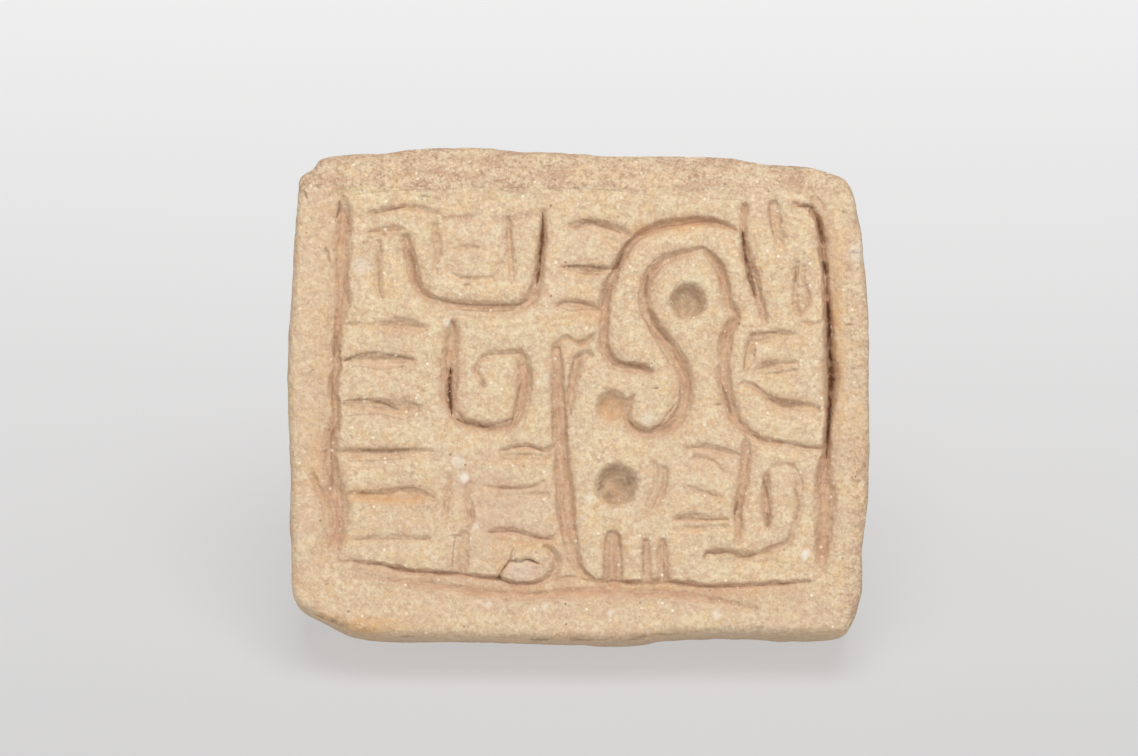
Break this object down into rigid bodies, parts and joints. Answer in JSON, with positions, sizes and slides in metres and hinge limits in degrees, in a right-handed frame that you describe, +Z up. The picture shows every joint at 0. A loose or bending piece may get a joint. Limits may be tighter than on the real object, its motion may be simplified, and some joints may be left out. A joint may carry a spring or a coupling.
{
  "type": "clay stamp",
  "caption": "Flat fired-clay stamp with a deeply carved bird pattern in a plain border and a stem handle behind, leaning back at rest on its lower edge and handle tip.",
  "frame": {"origin": "middle of the bounding box in X and Y, on the surface that the stamp rests on", "axes": "+X along the width of the carved face, to the right as it is looked at; -Y towards the viewer, the side that the carved face looks to; +Z up. The face leans back by 31.8 degrees from upright"},
  "size_m": [0.076, 0.0605, 0.0607],
  "materials": {
    "clay": "matte, sandy, unglazed, low-fired buff clay with earth left in the grooves"
  },
  "bodies": {
    "root": {"stamp": "clay"}
  },
  "joints": []
}
